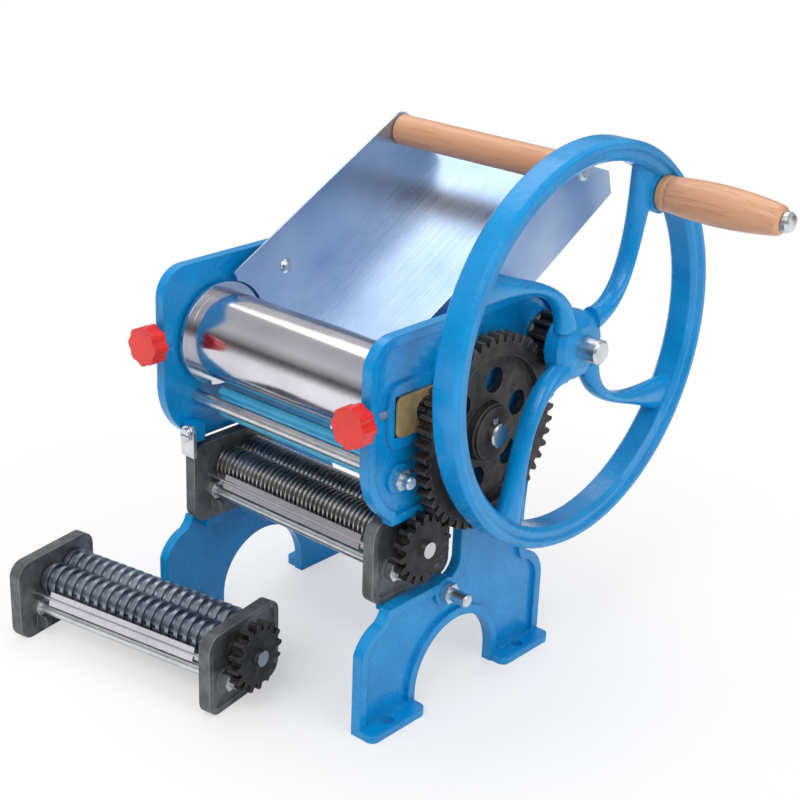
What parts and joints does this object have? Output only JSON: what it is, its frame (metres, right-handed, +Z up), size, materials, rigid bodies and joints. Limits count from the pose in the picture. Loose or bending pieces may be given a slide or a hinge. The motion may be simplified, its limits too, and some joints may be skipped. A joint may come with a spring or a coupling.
{
  "type": "hand cranked noodle press",
  "caption": "Hand cranked noodle and dough press with cast side frames, smooth rollers, feed tray, gear train, spoked hand wheel, noodle cutter box and a spare cutter box.",
  "frame": {"origin": "bench plane, centre of the four foot holes", "axes": "+X towards the hand wheel, -Y towards the front where the dough comes out, +Z up"},
  "size_m": [0.3728, 0.3498, 0.3389],
  "materials": {
    "blue_paint": "glossy hammered paint on cast iron",
    "pale_blue_paint": "glossy paint",
    "dark_cast": "dark oiled casting",
    "grey_cast": "grey casting",
    "bronze": "turned bronze",
    "polished_steel": "polished plating",
    "zinc_steel": "bright zinc-plated steel",
    "red_plastic": "glossy moulded plastic",
    "wood": "turned plain wood"
  },
  "bodies": {
    "machine": {"right_side_frame": "blue_paint", "left_side_frame": "blue_paint", "frame_bushes": "bronze", "upper_tie_rod": "zinc_steel", "lower_tie_rod": "zinc_steel", "tie_rod_nuts": "zinc_steel", "scraper_plate": "pale_blue_paint", "feed_tray": "zinc_steel", "tray_screws": "zinc_steel", "tray_roller_pins": "zinc_steel", "latch_screw": "zinc_steel", "fine_left_plate": "grey_cast", "fine_right_plate": "grey_cast", "fine_bushes": "bronze", "fine_rods": "zinc_steel", "fine_nuts": "zinc_steel", "fine_bar": "polished_steel", "wide_left_plate": "grey_cast", "wide_right_plate": "grey_cast", "wide_bushes": "bronze", "wide_rods": "zinc_steel", "wide_nuts": "zinc_steel", "wide_bar": "polished_steel"},
    "hand_wheel": {"hand_wheel": "blue_paint", "drive_shaft": "zinc_steel", "drive_pinion": "dark_cast", "handle_bolt": "zinc_steel", "handle_nut": "zinc_steel"},
    "grip": {"handle_grip": "wood"},
    "main_gear": {"main_gear": "dark_cast", "main_key": "zinc_steel", "rear_roller": "polished_steel", "rear_roller_gear": "dark_cast"},
    "carriage": {"right_bearing_block": "grey_cast", "left_bearing_block": "grey_cast", "bearing_plates": "bronze"},
    "front_roller": {"front_roller": "polished_steel", "front_roller_gear": "dark_cast"},
    "right_knob": {"right_knob": "red_plastic", "right_knob_screw": "zinc_steel"},
    "left_knob": {"left_knob": "red_plastic", "left_knob_screw": "zinc_steel"},
    "tray_roller": {"tray_roller": "wood"},
    "latch": {"cutter_latch": "zinc_steel"},
    "fine_front": {"fine_front_roller": "polished_steel", "fine_drive_gear": "dark_cast", "fine_front_gear": "dark_cast"},
    "fine_rear": {"fine_rear_roller": "polished_steel", "fine_rear_gear": "dark_cast"},
    "wide_front": {"wide_front_roller": "polished_steel", "wide_drive_gear": "dark_cast", "wide_front_gear": "dark_cast"},
    "wide_rear": {"wide_rear_roller": "polished_steel", "wide_rear_gear": "dark_cast"}
  },
  "joints": [
    {"name": "wheel_spin", "type": "hinge", "parent": "machine", "child": "hand_wheel", "pos_m": [0, 0.06898, 0.21493], "axis": [1, 0, 0], "continuous": true},
    {"name": "grip_spin", "type": "hinge", "parent": "hand_wheel", "child": "grip", "pos_m": [0.16, 0.13569, 0.29731], "axis": [1, 0, 0], "continuous": true},
    {"name": "main_gear_spin", "type": "hinge", "parent": "machine", "child": "main_gear", "pos_m": [0, 0.011, 0.1714], "axis": [1, 0, 0], "continuous": true},
    {"name": "carriage_slide", "type": "slide", "parent": "machine", "child": "carriage", "axis": [0, -1, 0], "range_m": [0, 0.003]},
    {"name": "front_roller_spin", "type": "hinge", "parent": "carriage", "child": "front_roller", "pos_m": [0, -0.03835, 0.19786], "axis": [1, 0, 0], "continuous": true},
    {"name": "right_knob_turn", "type": "hinge", "parent": "carriage", "child": "right_knob", "pos_m": [0.0845, -0.09, 0.20086], "axis": [0, -1, 0], "range_deg": [0, 540.1]},
    {"name": "left_knob_turn", "type": "hinge", "parent": "carriage", "child": "left_knob", "pos_m": [-0.0845, -0.09, 0.20086], "axis": [0, -1, 0], "range_deg": [0, 540.1]},
    {"name": "tray_roller_spin", "type": "hinge", "parent": "machine", "child": "tray_roller", "pos_m": [0, 0.1195, 0.3025], "axis": [1, 0, 0], "continuous": true},
    {"name": "latch_turn", "type": "hinge", "parent": "machine", "child": "latch", "pos_m": [-0.075, -0.068, 0.139], "axis": [0, 1, 0], "range_deg": [-90, 0]},
    {"name": "fine_front_spin", "type": "hinge", "parent": "machine", "child": "fine_front", "pos_m": [0, -0.03902, 0.11221], "axis": [1, 0, 0], "continuous": true},
    {"name": "fine_rear_spin", "type": "hinge", "parent": "machine", "child": "fine_rear", "pos_m": [0, -0.01802, 0.11221], "axis": [1, 0, 0], "continuous": true},
    {"name": "wide_front_spin", "type": "hinge", "parent": "machine", "child": "wide_front", "pos_m": [-0.07139, -0.11688, 0.03551], "axis": [0.9871, 0.1599, 0], "continuous": true},
    {"name": "wide_rear_spin", "type": "hinge", "parent": "machine", "child": "wide_rear", "pos_m": [-0.07475, -0.09615, 0.03551], "axis": [0.9871, 0.1599, 0], "continuous": true}
  ],
  "couplings": [
    {"joint": "main_gear_spin", "follows": "wheel_spin", "ratio": -0.26087},
    {"joint": "front_roller_spin", "follows": "wheel_spin", "ratio": 0.26087},
    {"joint": "fine_front_spin", "follows": "wheel_spin", "ratio": 0.75},
    {"joint": "fine_rear_spin", "follows": "wheel_spin", "ratio": -0.75},
    {"joint": "wide_rear_spin", "follows": "wide_front_spin", "ratio": -1},
    {"joint": "right_knob_turn", "follows": "carriage_slide", "rad_per_m": 3141.6},
    {"joint": "left_knob_turn", "follows": "carriage_slide", "rad_per_m": 3141.6}
  ]
}
